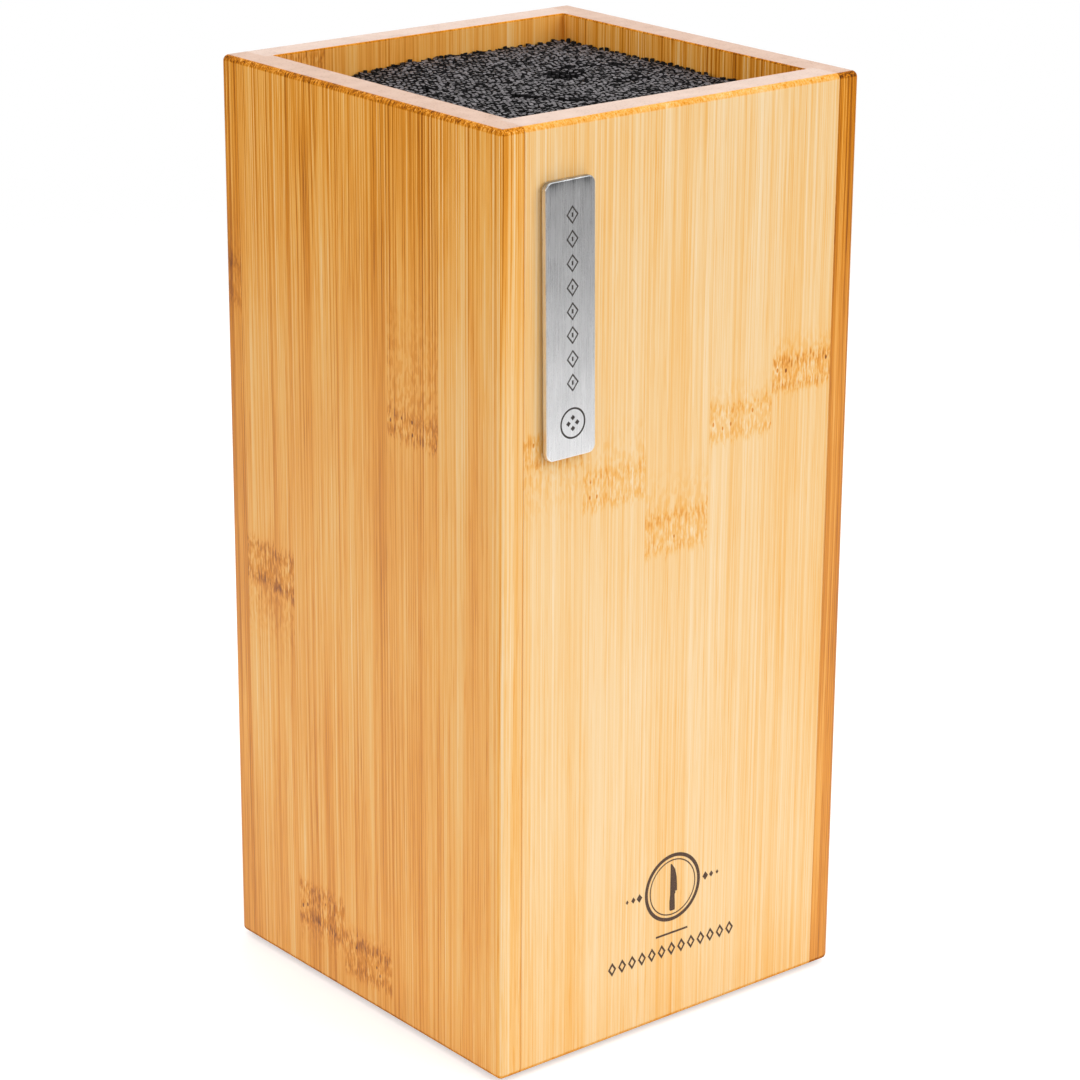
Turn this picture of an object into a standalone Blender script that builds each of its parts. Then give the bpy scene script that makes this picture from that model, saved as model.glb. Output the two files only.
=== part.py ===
"""Knife block: a square bamboo box with a lift-out insert of plastic bristles, for knives of any shape.

Metres, +Z up. The origin is the middle of the footprint, on the surface that the block stands on.
The badge is on the front, which faces -Y. Four boards are rabbeted into a box round a base board.
The insert, a tray with four welded bundles of bristles, stands loose in the box and lifts out along +Z.
"""

import math

import bmesh
import bpy
from mathutils import Matrix, Vector

# Box, outside
BOX_WIDTH = 0.105
BOX_DEPTH = 0.105
BOX_HEIGHT = 0.2245
EDGE_RADIUS = 0.0015
EDGE_STEPS = 5

# Boards
WALL_THICKNESS = 0.009
STRIP_WIDTH = 0.0063  # how much of a side board's edge shows on the front and the back
BASE_THICKNESS = 0.009
MOUTH_ROUNDING = 0.0005
MOUTH_STEPS = 3
GLUE_GAP = 0.0003

# Feet: thin round pads stuck under the base board
FOOT_RADIUS = 0.006
FOOT_EDGE = 0.0003
FOOT_INSET = 0.0085  # from the inside of a wall to the middle of a foot
FOOT_CLEARANCE = 0.001  # the box's height over the surface
FOOT_SIDES = 40

# Badge, stuck on the front board a little out of true
BADGE_WIDTH = 0.0139
BADGE_HEIGHT = 0.063
BADGE_THICKNESS = 0.0016
BADGE_CORNER = 0.0019
BADGE_ARRIS = 0.00025
BADGE_FROM_LEFT = 0.0176  # from the box's left side to the middle of the badge
BADGE_FROM_TOP = 0.0438  # from the rim to the middle of the badge
BADGE_LEAN = math.radians(0.8)
PAD_MARGIN = 0.0007
PAD_THICKNESS = 0.0003
STICK_GAP = 0.0002

# Insert
TRAY_CLEARANCE = 0.0007
TRAY_CORNER = 0.003
TRAY_WALL = 0.0015
TRAY_HEIGHT = 0.014
INSERT_SEAT_GAP = 0.0003
BRISTLE_DROP = 0.0063  # from the rim down to the bristle ends
BRISTLE_WALL_CLEARANCE = 0.0004
BRISTLE_TRAY_CLEARANCE = 0.0003
BRISTLE_PARTING = 0.0006  # between neighbouring bundles
BRISTLE_FLARE = 0.018  # height over which the bundles spread from the tray to the walls
BRISTLE_CORNER = 0.0012

# Worked out from the values above
HALF_W = BOX_WIDTH / 2
HALF_D = BOX_DEPTH / 2
INNER_W = HALF_W - WALL_THICKNESS
INNER_D = HALF_D - WALL_THICKNESS
BOX_BOTTOM = FOOT_CLEARANCE
RIM = BOX_BOTTOM + BOX_HEIGHT
BASE_TOP = BOX_BOTTOM + BASE_THICKNESS
TRAY_BOTTOM = BASE_TOP + INSERT_SEAT_GAP
TRAY_TOP = TRAY_BOTTOM + TRAY_HEIGHT
BRISTLE_TOP = RIM - BRISTLE_DROP
CUTTER_MARGIN = 0.01  # how far a cutter runs past what it cuts

SIDES = {"left": -1, "right": 1}
ENDS = {"front": -1, "back": 1}


def clear_scene():
    for obj in list(bpy.data.objects):
        bpy.data.objects.remove(obj, do_unlink=True)


def new_collection(name):
    collection = bpy.data.collections.new(name)
    bpy.context.scene.collection.children.link(collection)
    return collection


def principled(name, colour, roughness, metallic=0.0):
    material = bpy.data.materials.new(name)
    material.use_nodes = True
    material.diffuse_color = (*colour, 1.0)
    shader = material.node_tree.nodes["Principled BSDF"]
    shader.inputs["Base Color"].default_value = (*colour, 1.0)
    shader.inputs["Roughness"].default_value = roughness
    shader.inputs["Metallic"].default_value = metallic
    return material


def object_from(bm, name, collection, material=None):
    mesh = bpy.data.meshes.new(name)
    bm.to_mesh(mesh)
    bm.free()
    obj = bpy.data.objects.new(name, mesh)
    collection.objects.link(obj)
    if material:
        mesh.materials.append(material)
    return obj


def block_bmesh(low, high):
    """A box between two corners."""
    bm = bmesh.new()
    size = Vector(high) - Vector(low)
    centre = (Vector(high) + Vector(low)) / 2
    bmesh.ops.create_cube(bm, size=1.0, matrix=Matrix.Translation(centre) @ Matrix.Diagonal(size).to_4x4())
    return bm


def block(name, low, high, collection, material=None):
    return object_from(block_bmesh(low, high), name, collection, material)


def edges_along(bm, axis):
    """The edges that run along X, Y or Z, given as 0, 1 or 2."""
    chosen = []
    for edge in bm.edges:
        direction = (edge.verts[0].co - edge.verts[1].co).normalized()
        if abs(direction[axis]) > 0.999:
            chosen.append(edge)
    return chosen


def smooth(obj, angle=35):
    obj.data.shade_smooth()
    obj.data.set_sharp_from_angle(angle=math.radians(angle))


def add_boolean(obj, cutter, operation):
    modifier = obj.modifiers.new(cutter.name, "BOOLEAN")
    modifier.operation = operation
    modifier.solver = "EXACT"
    modifier.object = cutter


def add_bevel(obj, width, segments, angle=30):
    modifier = obj.modifiers.new("Bevel", "BEVEL")
    modifier.width = width
    modifier.segments = segments
    modifier.limit_method = "ANGLE"
    modifier.angle_limit = math.radians(angle)


def as_cutter(obj):
    obj.hide_render = True
    obj.display_type = "WIRE"
    return obj


def outer_form(cutters):
    """The outside of the whole box, with every outer edge rounded. The boards are cut to it."""
    bm = block_bmesh((-HALF_W, -HALF_D, BOX_BOTTOM), (HALF_W, HALF_D, RIM))
    bmesh.ops.bevel(
        bm, geom=bm.edges[:], offset=EDGE_RADIUS, segments=EDGE_STEPS, profile=0.5, affect="EDGES"
    )
    return as_cutter(object_from(bm, "outer_form", cutters))


def top_face(bm):
    return max(bm.faces, key=lambda face: face.calc_center_median().z)


def raise_top(bm, rise, spread_x, spread_y, beyond=0.0):
    """Extrudes the top face upwards. Its corners beyond a distance from an axis move away from that axis."""
    raised = bmesh.ops.extrude_discrete_faces(bm, faces=[top_face(bm)])["faces"][0]
    for vert in raised.verts:
        vert.co.z += rise
        if abs(vert.co.x) > beyond:
            vert.co.x += math.copysign(spread_x, vert.co.x)
        if abs(vert.co.y) > beyond:
            vert.co.y += math.copysign(spread_y, vert.co.y)


def mouth_form(cutters):
    """The hollow of the box. It flares in a quarter round at the rim, and rounds the boards' inner arris."""
    low = (-INNER_W, -INNER_D, BOX_BOTTOM - CUTTER_MARGIN)
    bm = block_bmesh(low, (INNER_W, INNER_D, RIM - MOUTH_ROUNDING))
    turns = [math.pi / 2 * step / MOUTH_STEPS for step in range(MOUTH_STEPS + 1)]
    for before, after in zip(turns, turns[1:]):
        rise = MOUTH_ROUNDING * (math.sin(after) - math.sin(before))
        spread = MOUTH_ROUNDING * (math.cos(before) - math.cos(after))
        raise_top(bm, rise, spread, spread)
    raise_top(bm, CUTTER_MARGIN, 0.0, 0.0)
    return as_cutter(object_from(bm, "mouth_form", cutters))


def make_side_board(name, side, outer, mouth, parts, cutters, material):
    """A full-depth board. Both upright edges are rabbeted, and a strip laps over the next board's end."""
    low_x, high_x = sorted((side * (HALF_W + CUTTER_MARGIN), side * INNER_W))
    board = block(
        name,
        (low_x, -HALF_D - CUTTER_MARGIN, BOX_BOTTOM - CUTTER_MARGIN),
        (high_x, HALF_D + CUTTER_MARGIN, RIM + CUTTER_MARGIN),
        parts,
        material,
    )
    add_boolean(board, outer, "INTERSECT")
    for end_name, end in ENDS.items():
        rabbet_x = sorted((side * (HALF_W - STRIP_WIDTH), side * (INNER_W - CUTTER_MARGIN)))
        rabbet_y = sorted((end * (INNER_D - GLUE_GAP), end * (HALF_D + CUTTER_MARGIN)))
        rabbet = block(
            f"{name}_{end_name}_rabbet",
            (rabbet_x[0], rabbet_y[0], BOX_BOTTOM - CUTTER_MARGIN),
            (rabbet_x[1], rabbet_y[1], RIM + CUTTER_MARGIN),
            cutters,
        )
        add_boolean(board, as_cutter(rabbet), "DIFFERENCE")
    add_boolean(board, mouth, "DIFFERENCE")
    return board


def make_end_board(name, end, outer, mouth, parts, material):
    """The front or back board, held between the side boards' strips."""
    reach = HALF_W - STRIP_WIDTH - GLUE_GAP
    low_y, high_y = sorted((end * (HALF_D + CUTTER_MARGIN), end * INNER_D))
    board = block(
        name,
        (-reach, low_y, BOX_BOTTOM - CUTTER_MARGIN),
        (reach, high_y, RIM + CUTTER_MARGIN),
        parts,
        material,
    )
    add_boolean(board, outer, "INTERSECT")
    add_boolean(board, mouth, "DIFFERENCE")
    return board


def make_base_board(parts, material):
    reach_x = INNER_W - GLUE_GAP
    reach_y = INNER_D - GLUE_GAP
    low = (-reach_x, -reach_y, BOX_BOTTOM)
    high = (reach_x, reach_y, BASE_TOP)
    board = block("base_board", low, high, parts, material)
    add_bevel(board, GLUE_GAP, 1)
    return board


def make_foot(name, x, y, parts, material):
    """A turned pad. Its underside is the face that the block stands on."""
    top = FOOT_CLEARANCE - GLUE_GAP
    sole_radius = FOOT_RADIUS - FOOT_EDGE
    profile = [(0.0, top), (FOOT_RADIUS, top), (FOOT_RADIUS, FOOT_EDGE), (sole_radius, 0.0), (0.0, 0.0)]
    bm = bmesh.new()
    verts = [bm.verts.new((radius, 0.0, z)) for radius, z in profile]
    for first, second in zip(verts, verts[1:]):
        bm.edges.new((first, second))
    foot = object_from(bm, name, parts, material)
    foot.location = (x, y, 0.0)
    screw = foot.modifiers.new("Screw", "SCREW")
    screw.steps = FOOT_SIDES
    screw.render_steps = FOOT_SIDES
    screw.use_merge_vertices = True
    screw.merge_threshold = 0.00001
    return foot


def make_feet(parts, material):
    for end_name, end in ENDS.items():
        for side_name, side in SIDES.items():
            x = side * (INNER_W - FOOT_INSET)
            y = end * (INNER_D - FOOT_INSET)
            make_foot(f"foot_{end_name}_{side_name}", x, y, parts, material)


def rounded_plate(name, width, height, thickness, corner, arris, parts, material):
    """An upright plate with round corners, in the XZ plane. Its back is at y = 0, its face at -thickness."""
    bm = block_bmesh((-width / 2, -thickness, -height / 2), (width / 2, 0.0, height / 2))
    bmesh.ops.bevel(
        bm, geom=edges_along(bm, 1), offset=corner, segments=8, profile=0.5, affect="EDGES"
    )
    plate = object_from(bm, name, parts, material)
    add_bevel(plate, arris, 3, angle=60)
    smooth(plate)
    return plate


def make_badge(parts, steel, foam):
    """The steel badge and the foam pad that sticks it on, both placed by one empty on the front board."""
    holder = bpy.data.objects.new("badge_place", None)
    parts.objects.link(holder)
    holder.location = (BADGE_FROM_LEFT - HALF_W, -HALF_D, RIM - BADGE_FROM_TOP)
    holder.rotation_euler = (0.0, -BADGE_LEAN, 0.0)
    pad = rounded_plate(
        "badge_adhesive_pad",
        BADGE_WIDTH - 2 * PAD_MARGIN,
        BADGE_HEIGHT - 2 * PAD_MARGIN,
        PAD_THICKNESS,
        BADGE_CORNER - PAD_MARGIN,
        PAD_THICKNESS / 8,
        parts,
        foam,
    )
    pad.parent = holder
    pad.location.y = -STICK_GAP
    plate = rounded_plate(
        "badge_plate", BADGE_WIDTH, BADGE_HEIGHT, BADGE_THICKNESS, BADGE_CORNER, BADGE_ARRIS, parts, steel
    )
    plate.parent = holder
    plate.location.y = -PAD_THICKNESS - 2 * STICK_GAP


def make_tray(insert_axis, parts, material):
    """An open tray: a sheet with a floor and four sides, thickened inwards."""
    reach_x = INNER_W - TRAY_CLEARANCE
    reach_y = INNER_D - TRAY_CLEARANCE
    bm = block_bmesh((-reach_x, -reach_y, TRAY_BOTTOM), (reach_x, reach_y, TRAY_TOP))
    bmesh.ops.bevel(
        bm, geom=edges_along(bm, 2), offset=TRAY_CORNER, segments=6, profile=0.5, affect="EDGES"
    )
    bmesh.ops.delete(bm, geom=[top_face(bm)], context="FACES_ONLY")
    tray = object_from(bm, "insert_tray", parts, material)
    solidify = tray.modifiers.new("Solidify", "SOLIDIFY")
    solidify.thickness = TRAY_WALL
    solidify.offset = -1.0
    solidify.use_even_offset = True
    smooth(tray)
    tray.parent = insert_axis
    return tray


def make_bundle(name, side, end, insert_axis, parts, material):
    """One quarter of the bristle pack. Its foot fits in the tray, and it spreads to the walls above it."""
    foot_x = INNER_W - TRAY_CLEARANCE - TRAY_WALL - BRISTLE_TRAY_CLEARANCE
    foot_y = INNER_D - TRAY_CLEARANCE - TRAY_WALL - BRISTLE_TRAY_CLEARANCE
    spread_x = INNER_W - BRISTLE_WALL_CLEARANCE - foot_x
    spread_y = INNER_D - BRISTLE_WALL_CLEARANCE - foot_y
    low_x, high_x = sorted((side * BRISTLE_PARTING / 2, side * foot_x))
    low_y, high_y = sorted((end * BRISTLE_PARTING / 2, end * foot_y))
    bottom = TRAY_BOTTOM + TRAY_WALL + BRISTLE_TRAY_CLEARANCE
    neck = TRAY_TOP + BRISTLE_TRAY_CLEARANCE
    bm = block_bmesh((low_x, low_y, bottom), (high_x, high_y, neck))
    raise_top(bm, BRISTLE_FLARE, spread_x, spread_y, beyond=BRISTLE_PARTING)
    raise_top(bm, BRISTLE_TOP - neck - BRISTLE_FLARE, 0.0, 0.0)
    bmesh.ops.bevel(
        bm, geom=outer_corner_edges(bm), offset=BRISTLE_CORNER, segments=3, profile=0.5, affect="EDGES"
    )
    bundle = object_from(bm, name, parts, material)
    bundle.parent = insert_axis
    return bundle


def outer_corner_edges(bm):
    """The chain of edges up the one corner of a bundle that stands in a corner of the box."""
    corner = {vert for vert in bm.verts if abs(vert.co.x) > INNER_W / 2 and abs(vert.co.y) > INNER_D / 2}
    return [edge for edge in bm.edges if corner.issuperset(edge.verts)]


def make_insert(parts, plastic, bristle):
    """Everything that lifts out. The empty stands on the joint's axis."""
    insert_axis = bpy.data.objects.new("insert_lift_axis", None)
    parts.objects.link(insert_axis)
    make_tray(insert_axis, parts, plastic)
    for end_name, end in ENDS.items():
        for side_name, side in SIDES.items():
            make_bundle(f"bristle_bundle_{end_name}_{side_name}", side, end, insert_axis, parts, bristle)


def main():
    clear_scene()
    parts = new_collection("bristle_knife_block")
    cutters = new_collection("cutters")

    side_bamboo = principled("side_bamboo", (0.62, 0.32, 0.10), 0.38)
    end_bamboo = principled("end_bamboo", (0.78, 0.50, 0.22), 0.38)
    base_bamboo = principled("base_bamboo", (0.68, 0.40, 0.16), 0.45)
    steel = principled("brushed_steel", (0.55, 0.55, 0.56), 0.34, metallic=1.0)
    foam = principled("adhesive_foam", (0.70, 0.70, 0.68), 0.85)
    rubber = principled("foot_rubber", (0.03, 0.03, 0.03), 0.80)
    plastic = principled("tray_plastic", (0.02, 0.02, 0.022), 0.50)
    bristle = principled("bristle_plastic", (0.025, 0.026, 0.028), 0.55)

    outer = outer_form(cutters)
    mouth = mouth_form(cutters)
    for side_name, side in SIDES.items():
        make_side_board(f"{side_name}_board", side, outer, mouth, parts, cutters, side_bamboo)
    for end_name, end in ENDS.items():
        make_end_board(f"{end_name}_board", end, outer, mouth, parts, end_bamboo)
    make_base_board(parts, base_bamboo)
    make_feet(parts, rubber)
    make_badge(parts, steel, foam)
    make_insert(parts, plastic, bristle)


main()
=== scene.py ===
"""Looks of the bristle knife block: bamboo boards, steel badge, bristle insert, floor, light and camera.

Metres. The frame's +Z is up, the badge is on the front, which faces -Y.
"""

import math
import random

import bmesh
import bpy
import numpy as np
from mathutils import Matrix, Vector


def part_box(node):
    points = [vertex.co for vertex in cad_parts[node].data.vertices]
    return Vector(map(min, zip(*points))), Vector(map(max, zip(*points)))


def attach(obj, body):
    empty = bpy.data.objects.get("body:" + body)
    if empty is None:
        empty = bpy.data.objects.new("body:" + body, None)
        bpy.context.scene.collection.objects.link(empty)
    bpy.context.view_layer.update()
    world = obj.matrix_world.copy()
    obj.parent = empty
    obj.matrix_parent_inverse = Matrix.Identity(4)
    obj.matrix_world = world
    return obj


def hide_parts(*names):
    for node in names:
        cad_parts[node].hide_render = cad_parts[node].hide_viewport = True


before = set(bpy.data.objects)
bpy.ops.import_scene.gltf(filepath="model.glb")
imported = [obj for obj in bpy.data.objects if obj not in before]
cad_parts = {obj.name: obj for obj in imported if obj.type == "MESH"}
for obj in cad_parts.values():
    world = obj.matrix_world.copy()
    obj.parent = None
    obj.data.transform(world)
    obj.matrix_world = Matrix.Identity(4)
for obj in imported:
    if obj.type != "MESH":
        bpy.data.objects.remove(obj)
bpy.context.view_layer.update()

MM = 0.001

# Camera
VIEW_AZIMUTH = math.radians(39.34)
VIEW_ELEVATION = math.radians(19.11)
VIEW_ROLL = math.radians(0.354)
VIEW_DISTANCE = 0.8404
VIEW_LENS = 115.97
AIM_RIGHT = 1.22 * MM
AIM_UP = -4.36 * MM

# Box
EDGE_RADIUS = 1.5 * MM
EDGE_STEPS = 8
MOUTH_ROUNDING = 0.5 * MM
MOUTH_STEPS = 4
BASE_ARRIS = 0.3 * MM
BOARD_GAP = 0.3 * MM  # between the frame's boards
HAIR_GAP = 0.03 * MM  # between the boards as they are made here, glued together
JOINT_GROOVE = 0.13 * MM  # the eased arris on both sides of a glue line
CUTTER_MARGIN = 10 * MM

# Bristles
FIBRE_RADIUS = 0.56 * MM
FIBRE_PITCH = 1.22 * MM
FIBRE_SIDES = 6
FIBRE_BOW = 0.25 * MM
FIBRE_END_RINGS = ((0.88, 0.05 * MM), (0.45, 0.07 * MM))  # share of the radius, and rise
BUNDLE_NARROWING = 2.4 * MM  # on each side, from the ends down to the tray

low_left, high_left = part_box("left_board")
low_right, high_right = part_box("right_board")
_, high_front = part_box("front_board")
low_back, high_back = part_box("back_board")
HALF_W = high_right.x
HALF_D = high_back.y
BOTTOM = low_left.z
RIM = high_left.z
INNER_W = low_right.x
INNER_D = low_back.y
STRIP_INNER = high_front.x + BOARD_GAP  # the inner side of the side boards' strips
CENTRE = Vector((0.0, 0.0, (BOTTOM + RIM) / 2))
CUTTER_TOP = RIM + CUTTER_MARGIN


# ---------------- materials


def set_stops(ramp, stops):
    """Gives a colour ramp its stops of (place, colour)."""
    elements = ramp.elements
    while len(elements) < len(stops):
        elements.new(0.5)
    for element, (place, colour) in zip(elements, stops):
        element.position = place
        element.color = (*colour, 1.0)


class Shader:
    """A node material, with short calls for the nodes that it needs."""

    def __init__(self, name):
        self.material = bpy.data.materials.new(name)
        self.material.use_nodes = True
        self.tree = self.material.node_tree
        self.surface = self.tree.nodes["Principled BSDF"]

    def put(self, socket, value):
        if isinstance(value, bpy.types.NodeSocket):
            self.tree.links.new(value, socket)
        else:
            socket.default_value = value

    def node(self, kind, inputs=None, **settings):
        node = self.tree.nodes.new(kind)
        for name, value in settings.items():
            setattr(node, name, value)
        for name, value in (inputs or {}).items():
            self.put(node.inputs[name], value)
        return node

    def math(self, operation, *values, clamp=False):
        node = self.node("ShaderNodeMath", operation=operation, use_clamp=clamp)
        for socket, value in zip(node.inputs, values):
            self.put(socket, value)
        return node.outputs[0]

    def vector(self, operation, *values):
        node = self.node("ShaderNodeVectorMath", operation=operation)
        for socket, value in zip(node.inputs, values):
            self.put(socket, value)
        return node.outputs[0]

    def plus(self, base, value, share, clamp=False):
        """base + value * share"""
        return self.math("ADD", base, self.math("MULTIPLY", value, share), clamp=clamp)

    def minus(self, base, value, share):
        """base - value * share"""
        return self.math("SUBTRACT", base, self.math("MULTIPLY", value, share))

    def product(self, result, *values):
        for value in values:
            result = self.math("MULTIPLY", result, value)
        return result

    def centred(self, value, scale):
        """A value about 0.5, moved to lie about 0 and scaled."""
        return self.math("MULTIPLY", self.math("SUBTRACT", value, 0.5), scale)

    def over(self, value, low, high):
        """0 below low, 1 above high, with a soft start and end."""
        inputs = {"Value": value, "From Min": low, "From Max": high}
        node = self.node("ShaderNodeMapRange", inputs, interpolation_type="SMOOTHSTEP")
        return node.outputs["Result"]

    def under(self, value, low, high):
        return self.math("SUBTRACT", 1.0, self.over(value, low, high))

    def position(self):
        """The place on the object in millimetres."""
        place = self.node("ShaderNodeTexCoord").outputs["Object"]
        return self.vector("MULTIPLY", place, (1 / MM, 1 / MM, 1 / MM))

    def attribute(self, name):
        return self.node("ShaderNodeAttribute", attribute_name=name).outputs["Vector"]

    def split(self, vector):
        return self.node("ShaderNodeSeparateXYZ", {0: vector}).outputs

    def join(self, x, y, z):
        return self.node("ShaderNodeCombineXYZ", {0: x, 1: y, 2: z}).outputs[0]

    def noise(self, vector, stretch, detail=2.0, roughness=0.5):
        scaled = self.vector("MULTIPLY", vector, stretch)
        inputs = {"Vector": scaled, "Scale": 1.0, "Detail": detail, "Roughness": roughness}
        return self.node("ShaderNodeTexNoise", inputs).outputs["Fac"]

    def cells(self, vector, stretch, randomness=1.0):
        """The distance to the nearest point of a scattered field."""
        scaled = self.vector("MULTIPLY", vector, stretch)
        inputs = {"Vector": scaled, "Scale": 1.0, "Randomness": randomness}
        return self.node("ShaderNodeTexVoronoi", inputs, feature="F1").outputs["Distance"]

    def colours(self, value, stops):
        node = self.node("ShaderNodeValToRGB", {"Fac": value})
        set_stops(node.color_ramp, stops)
        return node.outputs["Color"]

    def mix(self, factor, first, second):
        node = self.node("ShaderNodeMix", data_type="RGBA", blend_type="MIX")
        self.put(node.inputs["Factor"], factor)
        self.put(node.inputs[6], first)
        self.put(node.inputs[7], second)
        return node.outputs[2]

    def bump(self, height, distance, strength=1.0):
        inputs = {"Height": height, "Distance": distance, "Strength": strength}
        self.put(self.surface.inputs["Normal"], self.node("ShaderNodeBump", inputs).outputs[0])

    def set(self, **inputs):
        for name, value in inputs.items():
            self.put(self.surface.inputs[name.replace("_", " ")], value)


# Bamboo from dark to pale, along the grain and on the cut ends of the rim.
BAMBOO_TONES = (
    (0.00, (0.090, 0.026, 0.003)),
    (0.20, (0.370, 0.108, 0.006)),
    (0.40, (0.650, 0.225, 0.010)),
    (0.55, (0.810, 0.352, 0.052)),
    (0.66, (0.850, 0.458, 0.118)),
    (0.80, (0.865, 0.582, 0.272)),
    (1.00, (0.900, 0.720, 0.480)),
)
RIM_TONES = (
    (0.0, (0.290, 0.168, 0.105)),
    (0.5, (0.600, 0.400, 0.300)),
    (1.0, (0.735, 0.540, 0.435)),
)


def bamboo_material(name, contrast, ribbing, gloss, top_painted_shade, top_bare, foot_painted_shade, arris_painted_shade):
    """Strips of bamboo under satin lacquer. Each strip's tone, seed, node and figure come from the mesh.

    strip_place holds the millimetres from the strip's two sides and above its node, strip_look its
    tone, seed and dark streaks, strip_node how strong and how tall the node is and its figure, and
    strip_stain the place in a brown stain, from -1 to 1 across and up, and how strong it is.

    contrast is how lively the grain is, ribbing how deep its broad ribs are, and gloss the roughness
    between the fibres. The top, foot and arris shades are painted shade: how much darker the top, the
    foot and the rounded edges are painted, standing in for the weaker light and reflection there.
    top_bare is how much of the lacquer's sheen is missing near the top.
    """
    s = Shader(name)
    place = s.position()
    from_low, from_high, above_node = s.split(s.attribute("strip_place"))
    tone, seed, streaks = s.split(s.attribute("strip_look"))
    node_strength, node_reach, figure = s.split(s.attribute("strip_node"))
    stain_aside, stain_above, stain_strength = s.split(s.attribute("strip_stain"))
    shift = s.join(*(s.math("MULTIPLY", seed, step) for step in (37.13, 17.71, 211.3)))
    grain = s.vector("ADD", place, shift)
    height_up = s.split(place)[2]
    near_rim = s.over(height_up, RIM / MM - 75.0, RIM / MM)
    near_foot = s.under(height_up, 4.0, 26.0)

    # Fibres wander a little along their length.
    sway = s.noise(grain, (0.05, 0.05, 0.008), 1.0)
    swayed = s.vector("ADD", grain, s.join(s.centred(sway, 1.4), s.centred(sway, -1.4), 0.0))
    fine = s.noise(swayed, (3.0, 3.0, 0.005), 2.0, 0.7)
    medium = s.noise(swayed, (1.3, 1.3, 0.004), 2.0, 0.6)
    ribs = s.over(s.noise(swayed, (0.75, 0.75, 0.003), 3.0, 0.7), 0.36, 0.62)
    broad = s.noise(swayed, (0.20, 0.20, 0.006), 1.0)
    drift = s.noise(grain, (0.02, 0.02, 0.016), 1.0)
    short = s.noise(grain, (2.6, 2.6, 0.10), 1.0)
    dashes = s.over(s.noise(swayed, (3.4, 3.4, 0.06), 1.0), 0.58, 0.68)

    # The node: a band of short strokes with ragged ends, a crest of darker ones, a row of root dots
    # in paler rings, and a wavy figure beside it.
    strokes = s.noise(grain, (1.7, 1.7, 0.40), 2.0, 0.6)
    ragged = s.noise(grain, (1.3, 1.3, 0.03), 2.0, 0.7)
    distance = s.math("ABSOLUTE", s.math("ADD", above_node, s.centred(ragged, 8.0)))
    beyond_band = s.math("SUBTRACT", distance, node_reach)
    in_band = s.under(beyond_band, -2.6, 1.2)
    flecks = s.product(in_band, s.under(strokes, 0.36, 0.46), node_strength)
    band = s.product(in_band, s.plus(0.25, s.over(strokes, 0.42, 0.60), 0.95), node_strength)
    crest = s.under(s.math("ABSOLUTE", s.math("ADD", beyond_band, 0.8)), 0.2, 2.4)
    crest = s.product(crest, s.over(strokes, 0.44, 0.56), node_strength)
    roots = s.cells(grain, (0.42, 0.42, 0.24), 0.85)
    row = s.under(s.math("ABSOLUTE", above_node), 1.6, 3.6)
    dots = s.product(s.under(roots, 0.09, 0.17), row, node_strength)
    halo = s.product(s.under(roots, 0.20, 0.34), row, node_strength)
    beyond = s.math("MULTIPLY", above_node, s.math("SIGN", figure))
    figure_end = s.math("ADD", 6.0, s.math("ABSOLUTE", figure))
    fade = s.product(s.under(beyond, 3.0, figure_end), s.over(beyond, 0.0, 4.0))
    waves = s.over(s.noise(grain, (1.3, 1.3, 0.40), 1.0), 0.44, 0.58)
    waves = s.product(waves, fade, node_strength)

    # Dark streaks, a stain, and the glue lines between the strips.
    lines = s.over(s.noise(swayed, (1.8, 1.8, 0.005), 1.0), 0.54, 0.62)
    lines = s.math("ADD", lines, s.over(medium, 0.56, 0.72))
    dark_lines = s.product(lines, streaks, s.plus(0.45, near_rim, 0.75))
    stain = s.product(
        s.under(s.math("ABSOLUTE", stain_aside), 0.1, 1.0),
        s.under(s.math("ABSOLUTE", stain_above), 0.15, 1.0),
        stain_strength,
        s.plus(0.45, s.over(medium, 0.40, 0.62), 0.8),
    )
    glue = s.under(s.math("MINIMUM", from_low, from_high), 0.05, 0.24)

    # Where the surface turns: the rim's cut fibres, the rounded edges, which get painted shade, and the
    # upright corners, which get a painted highlight.
    normal = s.split(s.node("ShaderNodeTexCoord").outputs["Normal"])
    aside, ahead, up = (s.math("ABSOLUTE", part) for part in normal)
    end_grain = s.over(up, 0.955, 0.995)
    arris = s.product(s.over(up, 0.02, 0.30), s.under(up, 0.955, 0.995))
    painted_corner_highlight = s.product(s.over(aside, 0.35, 0.60), s.over(ahead, 0.35, 0.60))
    cut_fibres_and_shade = s.over(s.noise(grain, (2.2, 2.2, 0.9), 2.0, 0.6), 0.45, 0.60)
    pores = s.product(s.under(s.cells(grain, (1.15, 1.15, 0.004), 0.8), 0.14, 0.36), end_grain)

    livelier = s.plus(1.0, near_rim, 0.3 + 0.7 * top_bare)
    value = s.math("ADD", s.product(s.centred(fine, contrast), livelier), tone)
    value = s.math("ADD", value, s.product(s.centred(medium, 0.9 * contrast), livelier))
    for texture, share in ((broad, 0.50), (drift, 0.30), (short, 0.15)):
        value = s.math("ADD", value, s.centred(texture, share * contrast))
    value = s.plus(value, s.math("SUBTRACT", ribs, 0.8), ribbing)
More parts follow.
